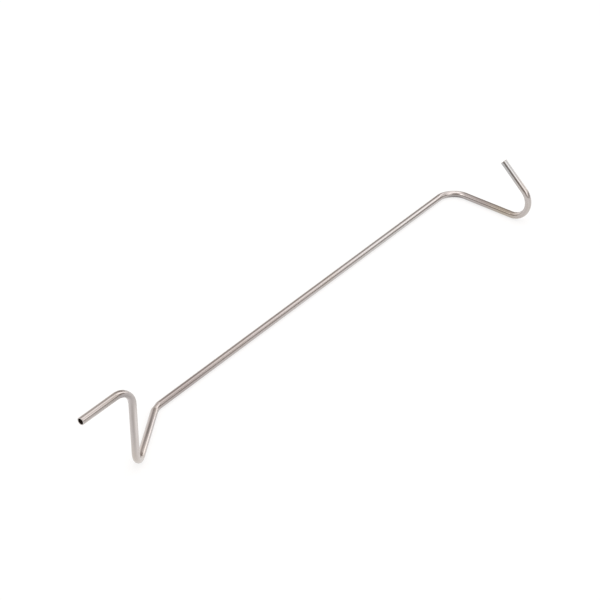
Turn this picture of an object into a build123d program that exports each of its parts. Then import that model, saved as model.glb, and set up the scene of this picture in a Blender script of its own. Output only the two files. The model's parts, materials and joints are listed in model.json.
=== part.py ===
from build123d import *
from math import cos, pi, radians, sin, tan
import os

# Bent tube hook: one length of thin-walled round metal tube with five bends.
#
# Three of its six straight runs lie on the ground. From end to end they are:
#   raised end - points away from the shank, parallel to it, high above the ground
#   riser      - stands upright
#   foot       - lies on the ground and swings in line with the shank
#   shank      - the long straight run, along +X
#   crank      - lies on the ground and leaves the shank at a right angle, towards -Y
#   return     - doubles back above the crank, rising, and makes the open hook
#
# Every bend was pulled round a grooved former. The groove held the sides and the inside of the
# bend, and the outside wall sank in, so the section goes oval towards the middle of each bend.
#
# Millimetres, +Z up. The origin is on the ground, at the centre of the outline seen from above.

# Tube stock
tube_diameter = 6.0
wall = 0.6
deburr = 0.12  # broken edge at the sawn ends

# Bends
bend_radius = 17.0  # to the round tube's centre line, the same former for every bend
deepest_sink = 0.7  # of the outside wall, at the middle of a bend
ovals_per_bend = 7  # sections that shape a bend, from its start to its end

# Straight runs, each measured between the corners where their centre lines meet
raised_end_length = 52.5
riser_height = 80.0
foot_length = 73.5
shank_length = 400.0
crank_length = 109.0
return_length = 74.5

# Headings
foot_turn = 31.0  # from the foot's heading to the shank's, in the ground plane
hook_turn = 137.0  # from the crank's heading to the return's, in an upright plane


def sink(along):
    """How far the outside wall has sunk, at a share of the way along a bend."""
    return deepest_sink * sin(pi * along) ** 2


tube_radius = tube_diameter / 2
bore_radius = tube_radius - wall
foot_reach = foot_length * cos(radians(foot_turn))
foot_offset = foot_length * sin(radians(foot_turn))
return_reach = -return_length * cos(radians(hook_turn))
return_climb = return_length * sin(radians(hook_turn))

# Outline seen from above, measured from the corner where the foot meets the shank
back = -foot_reach - raised_end_length
front = shank_length + tube_radius
hook_centre = -crank_length + bend_radius * tan(radians(hook_turn) / 2)
right = hook_centre - bend_radius - tube_radius + sink(90 / hook_turn)
left = tube_radius
origin_x = (back + front) / 2
origin_y = (right + left) / 2

# Corners of the centre line, in the part's own frame
knee = Vector(-origin_x, -origin_y, tube_radius)
heel = knee + Vector(-foot_reach, -foot_offset, 0)
shoulder = heel + Vector(0, 0, riser_height)
raised_mouth = shoulder + Vector(-raised_end_length, 0, 0)
elbow = knee + Vector(shank_length, 0, 0)
hook_corner = elbow + Vector(0, -crank_length, 0)
return_mouth = hook_corner + Vector(0, return_reach, return_climb)

with BuildLine() as route:
    FilletPolyline(
        raised_mouth,
        shoulder,
        heel,
        knee,
        elbow,
        hook_corner,
        return_mouth,
        radius=bend_radius,
    )
straight_runs = route.edges().filter_by(GeomType.LINE)
bends = route.edges().filter_by(GeomType.CIRCLE)


def across(bend, along):
    """Plane across a bend, with +Y towards the bend's centre."""
    heading = bend % along
    inward = bend.arc_center - bend @ along
    return Plane(origin=bend @ along, x_dir=inward.cross(heading), z_dir=heading)


def bar(round_radius):
    """Solid bar along the route, round on the straight runs and oval in the bends."""
    with BuildPart() as whole:
        for run in straight_runs:
            with BuildSketch(Plane(origin=run @ 0, z_dir=run % 0)):
                Circle(round_radius)
            extrude(amount=run.length)
        for bend in bends:
            with BuildSketch(across(bend, 0)):
                Circle(round_radius)
            for step in range(1, ovals_per_bend - 1):
                along = step / (ovals_per_bend - 1)
                half_sink = sink(along) / 2
                with BuildSketch(across(bend, along)):
                    with Locations((0, half_sink)):
                        Ellipse(round_radius, round_radius - half_sink)
            with BuildSketch(across(bend, 1)):
                Circle(round_radius)
            sweep(path=bend, multisection=True)
    return whole.part


with BuildPart() as bent_tube:
    add(bar(tube_radius))
    add(bar(bore_radius), mode=Mode.SUBTRACT)
    sawn_faces = bent_tube.faces().filter_by(GeomType.PLANE)
    chamfer(sawn_faces.edges(), deburr)

bent_tube.part.label = "bent_tube"

os.makedirs("parts", exist_ok=True)
export_step(bent_tube.part, "parts/bent_tube.step")
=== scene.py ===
import json
from math import atan2, cos, radians, sin, tan

import bpy
from mathutils import Matrix, Vector

# Looks of the bent tube hook: bright drawn metal in a white studio, from the photograph's angle.
#
# Metres, +Z up, in the CAD model's frame. The CAD's own mesh is shown. Its material is worked out
# from how far a point is along the tube, and where it lies round it. Every azimuth is in degrees,
# turned from +Y towards +X as seen from above, and every elevation is in degrees up from level.

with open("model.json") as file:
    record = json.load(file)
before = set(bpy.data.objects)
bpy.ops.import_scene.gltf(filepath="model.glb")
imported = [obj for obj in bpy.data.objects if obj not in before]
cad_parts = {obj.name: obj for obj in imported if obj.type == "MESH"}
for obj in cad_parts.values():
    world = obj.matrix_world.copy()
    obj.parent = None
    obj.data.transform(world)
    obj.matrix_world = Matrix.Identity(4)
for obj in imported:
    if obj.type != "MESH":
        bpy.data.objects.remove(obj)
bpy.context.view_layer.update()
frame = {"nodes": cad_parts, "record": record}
TUBE = frame["nodes"]["bent_tube"]
MOUNTS = {mount["name"]: mount for mount in frame["record"]["mounts"]}

# Camera
VIEW_AZIMUTH = 51.75
VIEW_ELEVATION = -35.72
VIEW_DISTANCE = 1.588  # from the point that it is aimed at
AIM_RIGHT = -0.0083  # of the middle of the shank
AIM_UP = -0.00556
LENS = 113.7  # millimetres, as is the sensor
SENSOR_WIDTH = 36

# The tube, as the CAD has it
TUBE_RADIUS = MOUNTS["shank"]["dims"]["r_mm"] / 1000
BEND_RADIUS = MOUNTS["hook_seat"]["dims"]["r_mm"] / 1000 + TUBE_RADIUS
SQUARE_TURN = radians(90)
FOOT_TURN = radians(31)
HOOK_TURN = radians(137)
DEBURR = 0.00012

# Parts of its surface
TUBE_REACH = 1.5 * TUBE_RADIUS  # from the centre line, past the outside of the tube
BORE_REACH = 0.0027  # from the centre line, between the bore's wall and the outside
BORE_DEPTH = 0.03  # from a mouth, short of the bends, where the outside sinks within that reach
CUT_DEPTH = 1.1 * DEBURR  # from a mouth, over the sawn face and its broken edges

# Colours of the metal, as reflectance
METAL = (0.572, 0.536, 0.525)
METAL_DARK = (0.415, 0.372, 0.362)
METAL_COOL = (0.525, 0.535, 0.543)
METAL_BROWN = (0.45, 0.40, 0.34)
METAL_WARM = (0.62, 0.56, 0.51)
METAL_GREY = (0.47, 0.48, 0.485)
# Used only for painted highlights on one side of the tube
METAL_PAINTED_HIGHLIGHT = (0.715, 0.67, 0.655)
# Used only for painted shade, dark reflections painted on one side of the tube
METAL_PAINTED_SHADE = (0.20, 0.18, 0.175)
BORE = (0.30, 0.25, 0.22)
SAWN = (0.62, 0.59, 0.57)

# Patterns in the metal: how fine they are along and across the tube, per metre, and the noise's
# detail and roughness
PATTERNS = {
    "fine_lines": (18, 5200, 3.0, 0.6),
    "broad_lines": (9, 900, 2.0, 0.5),
    "blotches": (45, 160, 3.0, 0.55),
    "scuffs": (500, 1400, 2.0, 0.7),
}

# What the patterns do: the noise at which each begins and is full, and its value at both
LINE_DARKENING = (0.35, 0.72, 0.0, 0.35)
BLOTCH_BROWNING = (0.45, 0.75, 0.0, 0.5)
LINE_ROUGHNESS = (0.3, 0.7, 0.16, 0.26)
SCUFF_ROUGHNESS = (0.62, 0.8, 0.0, 0.12)
BORE_ROUGHNESS = 0.25  # more than outside
SAWN_ROUGHNESS = 0.15
BUMP_STRENGTH = 0.3
BUMP_HEIGHT = 0.00001
BROAD_LINE_BUMP = 0.6  # as a share of the fine lines'

# Faint patches round the tube: how far along it, half width, strength, and colour
PATCHES = {
    "shoulder": (0.055, 0.014, 0.20, METAL_DARK),
    "heel": (0.125, 0.025, 0.60, METAL_WARM),
    "shank_by_foot": (0.222, 0.030, 1.00, METAL_DARK),
    "shank_low_half": (0.280, 0.100, 0.50, METAL_DARK),
    "shank_far_half": (0.500, 0.080, 0.40, METAL_COOL),
    "elbow": (0.588, 0.014, 0.45, METAL_DARK),
    "crank": (0.622, 0.016, 0.80, METAL_DARK),
    "hook_start": (0.643, 0.016, 1.00, METAL_BROWN),
    "hook_tip": (0.715, 0.018, 0.80, METAL_GREY),
}

# Painted highlights and painted shade on one side of the tube: the same, then the azimuth and
# elevation that the side faces, and the half width round the tube in degrees
PAINTED_REFLECTIONS = {
    "raised_end_painted_highlight": (0.004, 0.020, 1.00, METAL_PAINTED_HIGHLIGHT, (180, 37), 19),
    "raised_end_painted_shade": (0.015, 0.025, 0.36, METAL_PAINTED_SHADE, (180, 12), 16),
    "shoulder_painted_shade": (0.045, 0.014, 0.75, METAL_PAINTED_SHADE, (188, -6), 32),
    "riser_painted_shade": (0.077, 0.030, 0.46, METAL_PAINTED_SHADE, (232, 0), 26),
    "riser_painted_highlight": (0.080, 0.024, 0.75, METAL_PAINTED_HIGHLIGHT, (188, 0), 26),
    "foot_painted_shade": (0.163, 0.016, 0.66, METAL_PAINTED_SHADE, (149, 78), 15),
    "elbow_painted_shade": (0.590, 0.020, 1.00, METAL_PAINTED_SHADE, (246, -30), 40),
    "elbow_painted_highlight": (0.596, 0.014, 0.90, METAL_PAINTED_HIGHLIGHT, (248, 41), 20),
}

# Studio: a white table in a dim, slightly warm room with soft white boxes. Each box has an azimuth
# on from the camera's, an elevation, a half width in degrees, and a brightness.
ROOM = (0.285, 0.24, 0.215)
BOXES = {
    "back": (58, 33, 12, 2.14),
    "back_high": (40, 51, 18, 1.08),
    "back_low": (48, 9, 12, 2.06),
    "side": (97, 30, 12, 1.26),
    "overhead": (0, 89, 23, 1.85),
    "front_high": (132, 49, 22, 1.23),
    "front": (148, 28, 16, 1.99),
    "front_left": (-125, 40, 14, 2.35),
    "left_high": (-74, 37, 12, 0.96),
    "left_wall": (-48, 13, 32, 1.12),
}
WHITE = (1, 1, 1, 1)
FLOOR = (0.28, 0.28, 0.28, 1)
FLOOR_LIFT = (0.735, 0.735, 0.735, 1)  # makes the lit floor white, to the camera and in the metal
FLOOR_SIZE = 12


def direction(azimuth, elevation):
    a, e = radians(azimuth), radians(elevation)
    return Vector((sin(a) * cos(e), cos(a) * cos(e), sin(e)))


def add_camera():
    toward = direction(VIEW_AZIMUTH, VIEW_ELEVATION)
    right = direction(VIEW_AZIMUTH + 90, 0)
    up = right.cross(toward)
    aim = Vector(MOUNTS["shank"]["pos_m"]) + right * AIM_RIGHT + up * AIM_UP
    data = bpy.data.cameras.new("camera")
    data.lens = LENS
    data.sensor_width = SENSOR_WIDTH
    camera = bpy.data.objects.new("camera", data)
    turn = Matrix((right, up, -toward)).transposed().to_4x4()
    camera.matrix_world = Matrix.Translation(aim - toward * VIEW_DISTANCE) @ turn
    bpy.context.scene.collection.objects.link(camera)
    bpy.context.scene.camera = camera


class Graph:
    """Short hand for adding and wiring a tree's shader nodes."""

    def __init__(self, tree):
        self.nodes, self.links = tree.nodes, tree.links

    def add(self, kind, *inputs, **settings):
        node = self.nodes.new("ShaderNode" + kind)
        for name, value in settings.items():
            setattr(node, name, value)
        for socket, value in zip(node.inputs, inputs):
            self.feed(socket, value)
        return node

    def feed(self, socket, value):
        """Link another node's output to a socket, or set its own value."""
        if isinstance(value, bpy.types.NodeSocket):
            self.links.new(value, socket)
        elif value is not None:
            socket.default_value = value

    def math(self, operation, a, b=None, c=None):
        return self.add("Math", a, b, c, operation=operation).outputs[0]

    def vector(self, operation, a, b=None):
        node = self.add("VectorMath", a, b, operation=operation)
        return node.outputs["Value" if operation in ("DOT_PRODUCT", "LENGTH") else "Vector"]

    def split(self, vector):
        return self.add("SeparateXYZ", vector).outputs

    def noise(self, vector, detail, roughness):
        node = self.add("TexNoise", vector)
        for name, value in (("Scale", 1), ("Detail", detail), ("Roughness", roughness)):
            node.inputs[name].default_value = value
        return node.outputs[0]

    def ramp(self, value, low, high, out_low, out_high):
        return self.add("MapRange", value, low, high, out_low, out_high).outputs[0]

    def lobe(self, vector, middle, half_width):
        """One where a vector points to the middle, falling off smoothly round it."""
        away = self.math("SUBTRACT", self.vector("DOT_PRODUCT", vector, middle), 1.0)
        return self.math("EXPONENT", self.math("DIVIDE", away, 1 - cos(radians(half_width))))

    def mix(self, factor, a, b):
        """Colour a, moved towards colour b by the factor. A plain colour has three numbers."""
        node = self.add("Mix", data_type="RGBA")
        colour_sockets = node.inputs[6], node.inputs[7]
        self.feed(node.inputs[0], factor)
        for socket, colour in zip(colour_sockets, (a, b)):
            self.feed(socket, (*colour, 1) if isinstance(colour, tuple) else colour)
        return node.outputs[2]


def new_material(name):
    material = bpy.data.materials.new(name)
    material.use_nodes = True
    graph = Graph(material.node_tree)
    return material, graph, graph.nodes["Principled BSDF"].inputs


def trim(turn):
    """How far a bend's ends lie from the corner of its centre line."""
    return BEND_RADIUS * tan(turn / 2)


def corners():
    """Corners of the tube's centre line, from the raised mouth to the hook's mouth."""
    raised, shank, back = MOUNTS["raised_end"], MOUNTS["shank"], MOUNTS["return_end"]

    def at(mount, share, beyond):
        reach = mount["dims"]["length_mm"] / 1000 * share + beyond
        return Vector(mount["pos_m"]) + Vector(mount["axis"]) * reach

    shoulder = at(raised, -0.5, -trim(SQUARE_TURN))
    return [
        at(raised, 0.5, DEBURR),
        shoulder,
        Vector((shoulder.x, shoulder.y, TUBE_RADIUS)),
        at(shank, -0.5, -trim(FOOT_TURN)),
        at(shank, 0.5, trim(SQUARE_TURN)),
        at(back, -0.5, -trim(HOOK_TURN)),
        at(back, 0.5, DEBURR),
    ]


def tube_coordinates(graph, place):
    """Vector of how far along the tube a point is and its two offsets from the centre line.

    The offsets turn with the tube, so they stay the same along a line drawn on it, also in a bend.
    The tube's length comes with it.
    """
    points = corners()
    headings = [(b - a).normalized() for a, b in zip(points, points[1:])]
    side = Vector((0, 1, 0))
    total = (0, 0, 0)
    along = 0.0

    def seen_from(origin, axes):
        """The point, seen from an origin with its own axes."""
        turned = Matrix(axes)
        return graph.add("Mapping", place, -(turned @ origin), turned.to_euler()).outputs[0]

    def gather(span, end, offsets, section):
        """The total with a stretch's section, where the point is on the tube between its ends."""
        between = graph.math("COMPARE", span, end / 2, end / 2)
        on_tube = graph.math("LESS_THAN", graph.vector("LENGTH", offsets), TUBE_REACH)
        inside = graph.math("MULTIPLY", between, on_tube)
        shifted = graph.vector("ADD", section, (along, 0, 0))
        return graph.vector("ADD", total, graph.vector("MULTIPLY", shifted, inside))

    trimmed = 0.0
    for index, heading in enumerate(headings):
        is_last = index == len(headings) - 1
        turn = 0.0 if is_last else heading.angle(headings[index + 1])
        start = points[index] + heading * trimmed
        length = (points[index + 1] - start).length - trim(turn)
        run = seen_from(start, (heading, side, heading.cross(side)))
        offsets = graph.vector("MULTIPLY", run, (0, 1, 1))
        total = gather(graph.split(run)[0], length, offsets, run)
        along += length
        if is_last:
            break

        inward = (headings[index + 1] - heading * cos(turn)).normalized()
        over = heading.cross(inward)
        centre = start + heading * length + inward * BEND_RADIUS
        bend = seen_from(centre, (heading, inward, over))
        forward, sideways, upward = graph.split(bend)
        angle = graph.math("ARCTAN2", forward, graph.math("MULTIPLY", sideways, -1.0))
        reach = graph.vector("LENGTH", graph.vector("MULTIPLY", bend, (1, 1, 0)))
        depth = graph.math("SUBTRACT", BEND_RADIUS, reach)
        offsets = graph.add("CombineXYZ", 0.0, depth, upward).outputs[0]
        arc = graph.math("MULTIPLY", angle, BEND_RADIUS)
        unturned = graph.add("CombineXYZ", arc, depth, upward).outputs[0]
        about_heading = -atan2(side.dot(over), side.dot(inward))
        spun = graph.add("Mapping", unturned, None, (about_heading, 0, 0)).outputs[0]
        total = gather(angle, turn, offsets, spun)
        along += BEND_RADIUS * turn
        side = Matrix.Rotation(turn, 3, over) @ side
        trimmed = trim(turn)
    return total, along


def metal():
    """Bright drawn steel: fine lines along the tube, faint blotches, painted highlights and painted
    shade, a dull bore and sawn ends.
    """
    material, graph, shader = new_material("drawn_metal")
    coordinates = graph.add("TexCoord").outputs
    section, tube_length = tube_coordinates(graph, coordinates["Object"])
    along = graph.split(section)[0]
    off_axis = graph.vector("LENGTH", graph.vector("MULTIPLY", section, (0, 1, 1)))

    def pattern(name):
        fineness_along, fineness_across, detail, roughness = PATTERNS[name]
        fineness = (fineness_along, fineness_across, fineness_across)
        return graph.noise(graph.vector("MULTIPLY", section, fineness), detail, roughness)

    def near(position, half_width):
        """One at a place along the tube, falling off smoothly to both sides."""
        gap = graph.math("DIVIDE", graph.math("SUBTRACT", along, position), half_width)
        return graph.math("EXPONENT", graph.math("MULTIPLY", graph.math("POWER", gap, 2.0), -1.0))

    fine_lines = pattern("fine_lines")
    broad_lines = pattern("broad_lines")
    from_mouth = graph.math("MINIMUM", along, graph.math("SUBTRACT", tube_length, along))
    within_bore = graph.math("LESS_THAN", off_axis, BORE_REACH)
    by_mouth = graph.math("LESS_THAN", from_mouth, BORE_DEPTH)
    in_bore = graph.math("MULTIPLY", within_bore, by_mouth)
    on_cut = graph.math("LESS_THAN", from_mouth, CUT_DEPTH)

    colour = graph.mix(graph.ramp(broad_lines, *LINE_DARKENING), METAL, METAL_DARK)
    colour = graph.mix(graph.ramp(pattern("blotches"), *BLOTCH_BROWNING), colour, METAL_BROWN)
    for position, half_width, strength, patch in PATCHES.values():
        amount = graph.math("MULTIPLY", near(position, half_width), strength)
        colour = graph.mix(amount, colour, patch)
    # Painted highlights and painted shade, on the side of the tube that faces a given way
    for position, half_width, strength, painted_light_colour, faces, half_turn in PAINTED_REFLECTIONS.values():
        sided = graph.lobe(coordinates["Normal"], direction(*faces), half_turn)
        strongest = graph.math("MULTIPLY", sided, strength)
        amount = graph.math("MULTIPLY", near(position, half_width), strongest)
        colour = graph.mix(amount, colour, painted_light_colour)
    colour = graph.mix(in_bore, colour, BORE)
    colour = graph.mix(on_cut, colour, SAWN)

    roughness = graph.ramp(fine_lines, *LINE_ROUGHNESS)
    roughness = graph.math("ADD", roughness, graph.ramp(pattern("scuffs"), *SCUFF_ROUGHNESS))
    roughness = graph.math("MULTIPLY_ADD", in_bore, BORE_ROUGHNESS, roughness)
    roughness = graph.math("MULTIPLY_ADD", on_cut, SAWN_ROUGHNESS, roughness)
    bump = graph.add("Bump")
    graph.feed(bump.inputs["Strength"], BUMP_STRENGTH)
    graph.feed(bump.inputs["Distance"], BUMP_HEIGHT)
    height = graph.math("MULTIPLY_ADD", broad_lines, BROAD_LINE_BUMP, fine_lines)
    graph.feed(bump.inputs["Height"], height)

    graph.feed(shader["Metallic"], 1)
    graph.feed(shader["Base Color"], colour)
    graph.feed(shader["Roughness"], roughness)
    graph.feed(shader["Normal"], bump.outputs["Normal"])
    return material


def add_floor():
    """White table. Its lift shows to the camera and in the metal, and lights nothing else."""
    bpy.ops.mesh.primitive_plane_add(size=FLOOR_SIZE)
    floor = bpy.context.object
    floor.name = "floor"
    material, graph, shader = new_material("floor")
    graph.feed(shader["Base Color"], FLOOR)
    graph.feed(shader["Roughness"], 1)
    graph.feed(shader["Specular IOR Level"], 0)
    graph.feed(shader["Emission Color"], FLOOR_LIFT)
    ray = graph.add("LightPath").outputs
    shown = graph.math("ADD", ray["Is Camera Ray"], ray["Is Glossy Ray"])
    shown = graph.math("ADD", shown, ray["Is Transmission Ray"])
    graph.feed(shader["Emission Strength"], shown)
    floor.data.materials.append(material)


def add_world():
    """The room and its boxes light the object, and show in the metal above the table.

    Beyond the table's edge the camera sees white.
    """
    world = bpy.data.worlds.new("studio")
    world.use_nodes = True
    bpy.context.scene.world = world
    graph = Graph(world.node_tree)
    toward = graph.add("TexCoord").outputs["Generated"]
    light = 0.0
    for azimuth, elevation, half_width, brightness in BOXES.values():
        box = graph.lobe(toward, direction(VIEW_AZIMUTH + azimuth, elevation), half_width)
        light = graph.math("MULTIPLY_ADD", box, brightness, light)
    studio = graph.nodes["Background"]
    graph.feed(studio.inputs["Strength"], 1)
    graph.feed(studio.inputs["Color"], graph.vector("ADD", light, ROOM))
    backdrop = graph.add("Background", WHITE, 1.0)
    ray = graph.add("LightPath").outputs
    seen = graph.math("ADD", ray["Is Camera Ray"], ray["Is Transmission Ray"])
    shown = graph.add("MixShader", seen, studio.outputs[0], backdrop.outputs[0])
    graph.feed(graph.nodes["World Output"].inputs["Surface"], shown.outputs[0])


add_camera()
TUBE.data.materials.clear()
TUBE.data.materials.append(metal())
add_floor()
add_world()
bpy.context.scene.view_settings.view_transform = "Standard"
